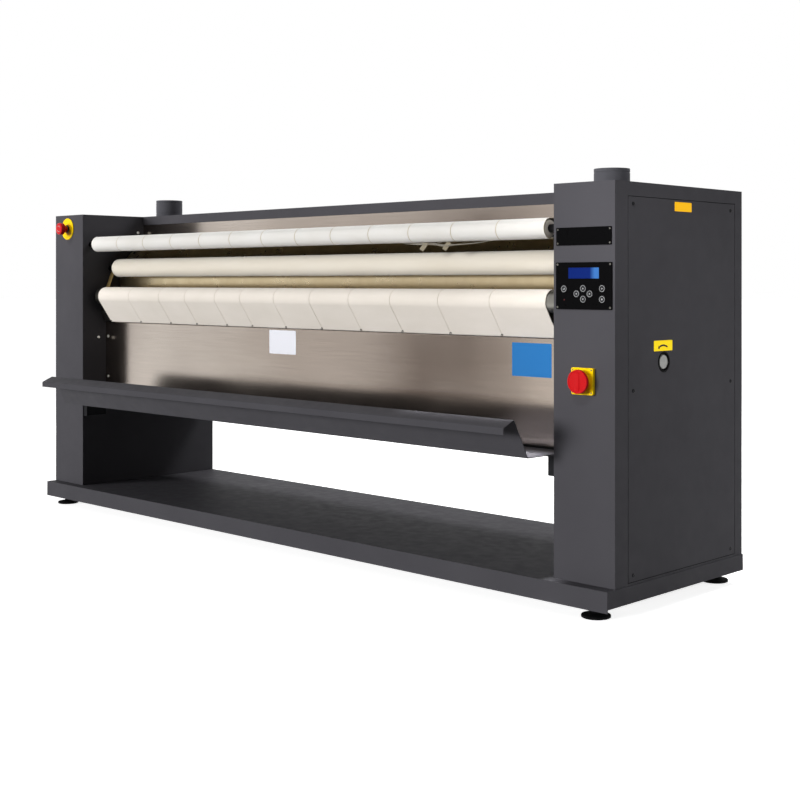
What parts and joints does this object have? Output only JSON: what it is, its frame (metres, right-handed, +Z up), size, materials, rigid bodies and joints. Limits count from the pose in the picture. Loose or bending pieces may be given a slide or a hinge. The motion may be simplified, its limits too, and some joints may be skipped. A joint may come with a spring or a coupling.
{
  "type": "flatwork ironer",
  "caption": "Free-standing flatwork ironer with a heated cylinder, cloth ironing bands, a sloping feed apron, a front linen tray and a control pedestal at each end.",
  "frame": {"origin": "on the floor, under the middle of the bounding box", "axes": "+X along the machine towards the keypad pedestal, +Y from the operator's side to the back, +Z up"},
  "size_m": [2.9, 0.894, 1.29],
  "materials": {
    "anthracite_paint": "fine powder coat",
    "dark_paint": "fine powder coat",
    "stainless": "brushed along its length",
    "bare_steel": "turned",
    "polished_steel": "polished",
    "cast_metal": "cast and painted",
    "band_cloth": "woven band",
    "apron_cloth": "woven band",
    "roller_cloth": "felted cloth",
    "foot_rubber": "moulded",
    "black_plastic": "moulded",
    "grey_plastic": "moulded",
    "yellow_plastic": "moulded",
    "red_plastic": "moulded",
    "display_screen": "backlit screen"
  },
  "bodies": {
    "frame": {"base_plate": "anthracite_paint", "foot_front_left": "foot_rubber", "foot_front_right": "foot_rubber", "foot_rear_left": "foot_rubber", "foot_rear_right": "foot_rubber", "left_pedestal_shell": "anthracite_paint", "right_pedestal_shell": "anthracite_paint", "left_service_door": "anthracite_paint", "right_service_door": "anthracite_paint", "left_side_frame": "cast_metal", "right_side_frame": "cast_metal", "top_cover": "anthracite_paint", "rear_cover": "anthracite_paint", "bottom_pan": "dark_paint", "upper_panel": "stainless", "lower_panel": "stainless", "linen_tray": "anthracite_paint", "left_tray_bracket": "dark_paint", "right_tray_bracket": "dark_paint", "left_exhaust_duct": "dark_paint", "right_exhaust_duct": "dark_paint", "heating_elements": "bare_steel", "left_cylinder_bearing": "cast_metal", "right_cylinder_bearing": "cast_metal", "ironing_bands": "band_cloth", "feed_bands": "apron_cloth", "nose_bar": "bare_steel", "drive_chain": "bare_steel", "gearbox": "cast_metal", "drive_motor": "cast_metal", "crank_port_grommet": "foot_rubber", "electrical_box": "dark_paint", "mains_gland": "black_plastic", "keypad_plate": "black_plastic", "display_module": "display_screen", "main_switch_plate": "yellow_plastic", "main_switch_body": "black_plastic", "emergency_stop_plate": "yellow_plastic", "emergency_stop_body": "black_plastic"},
    "cylinder": {"heated_cylinder": "polished_steel", "cylinder_sprocket": "bare_steel"},
    "drive_shaft": {"drive_shaft": "bare_steel"},
    "top_roller": {"top_roller": "bare_steel"},
    "press_roller": {"press_roller": "roller_cloth"},
    "feed_roller": {"feed_roller": "bare_steel"},
    "front_guide_roller": {"front_guide_roller": "bare_steel"},
    "lower_guide_roller": {"lower_guide_roller": "bare_steel"},
    "upper_guide_roller": {"upper_guide_roller": "bare_steel"},
    "left_fan": {"left_exhaust_fan": "black_plastic"},
    "right_fan": {"right_exhaust_fan": "black_plastic"},
    "stop_stem": {"emergency_stop_stem": "bare_steel"},
    "stop_head": {"emergency_stop_head": "red_plastic"},
    "switch_knob": {"main_switch_knob": "red_plastic"},
    "button_enter": {"button_enter": "black_plastic"},
    "button_up": {"button_up": "black_plastic"},
    "button_left": {"button_left": "black_plastic"},
    "button_right": {"button_right": "black_plastic"},
    "button_down": {"button_down": "black_plastic"},
    "button_start": {"button_start": "black_plastic"},
    "button_stop": {"button_stop": "black_plastic"}
  },
  "joints": [
    {"name": "cylinder_spin", "type": "hinge", "parent": "frame", "child": "cylinder", "pos_m": [0, 0.09083, 0.94], "axis": [1, 0, 0], "continuous": true},
    {"name": "drive_shaft_spin", "type": "hinge", "parent": "frame", "child": "drive_shaft", "pos_m": [1.3, -0.0045, 0.708], "axis": [1, 0, 0], "continuous": true},
    {"name": "top_roller_spin", "type": "hinge", "parent": "frame", "child": "top_roller", "pos_m": [0, -0.203, 1.095], "axis": [1, 0, 0], "continuous": true},
    {"name": "press_roller_spin", "type": "hinge", "parent": "frame", "child": "press_roller", "pos_m": [0, -0.104, 0.997], "axis": [1, 0, 0], "continuous": true},
    {"name": "feed_roller_spin", "type": "hinge", "parent": "frame", "child": "feed_roller", "pos_m": [0, -0.172, 0.879], "axis": [1, 0, 0], "continuous": true},
    {"name": "front_guide_spin", "type": "hinge", "parent": "frame", "child": "front_guide_roller", "pos_m": [0, -0.081, 0.815], "axis": [1, 0, 0], "continuous": true},
    {"name": "lower_guide_spin", "type": "hinge", "parent": "frame", "child": "lower_guide_roller", "pos_m": [0, 0.354, 0.7], "axis": [1, 0, 0], "continuous": true},
    {"name": "upper_guide_spin", "type": "hinge", "parent": "frame", "child": "upper_guide_roller", "pos_m": [0, 0.354, 1.095], "axis": [1, 0, 0], "continuous": true},
    {"name": "left_fan_spin", "type": "hinge", "parent": "frame", "child": "left_fan", "pos_m": [-1.163, 0.14, 1.2], "axis": [0, 0, 1], "continuous": true},
    {"name": "right_fan_spin", "type": "hinge", "parent": "frame", "child": "right_fan", "pos_m": [1.163, 0.14, 1.2], "axis": [0, 0, 1], "continuous": true},
    {"name": "stop_push", "type": "slide", "parent": "frame", "child": "stop_stem", "axis": [0, 1, 0], "range_m": [0, 0.006]},
    {"name": "stop_twist", "type": "hinge", "parent": "stop_stem", "child": "stop_head", "pos_m": [-1.35, -0.28, 1.162], "axis": [0, 1, 0], "range_deg": [0, 45], "stiffness_Nm_per_rad": 0.1},
    {"name": "main_switch_turn", "type": "hinge", "parent": "frame", "child": "switch_knob", "pos_m": [1.342, -0.27, 0.6595], "axis": [0, 1, 0], "range_deg": [0, 90]},
    {"name": "button_enter_press", "type": "slide", "parent": "frame", "child": "button_enter", "axis": [0, 1, 0], "range_m": [0, 0.0015], "stiffness_N_per_m": 800},
    {"name": "button_up_press", "type": "slide", "parent": "frame", "child": "button_up", "axis": [0, 1, 0], "range_m": [0, 0.0015], "stiffness_N_per_m": 800},
    {"name": "button_left_press", "type": "slide", "parent": "frame", "child": "button_left", "axis": [0, 1, 0], "range_m": [0, 0.0015], "stiffness_N_per_m": 800},
    {"name": "button_right_press", "type": "slide", "parent": "frame", "child": "button_right", "axis": [0, 1, 0], "range_m": [0, 0.0015], "stiffness_N_per_m": 800},
    {"name": "button_down_press", "type": "slide", "parent": "frame", "child": "button_down", "axis": [0, 1, 0], "range_m": [0, 0.0015], "stiffness_N_per_m": 800},
    {"name": "button_start_press", "type": "slide", "parent": "frame", "child": "button_start", "axis": [0, 1, 0], "range_m": [0, 0.0015], "stiffness_N_per_m": 800},
    {"name": "button_stop_press", "type": "slide", "parent": "frame", "child": "button_stop", "axis": [0, 1, 0], "range_m": [0, 0.0015], "stiffness_N_per_m": 800}
  ],
  "couplings": [
    {"joint": "drive_shaft_spin", "follows": "cylinder_spin", "ratio": 3},
    {"joint": "feed_roller_spin", "follows": "cylinder_spin", "ratio": 4.7143},
    {"joint": "press_roller_spin", "follows": "cylinder_spin", "ratio": -4.4},
    {"joint": "top_roller_spin", "follows": "cylinder_spin", "ratio": -5.8511},
    {"joint": "front_guide_spin", "follows": "cylinder_spin", "ratio": -5.8511},
    {"joint": "lower_guide_spin", "follows": "cylinder_spin", "ratio": -5.8511},
    {"joint": "upper_guide_spin", "follows": "cylinder_spin", "ratio": -5.8511}
  ]
}
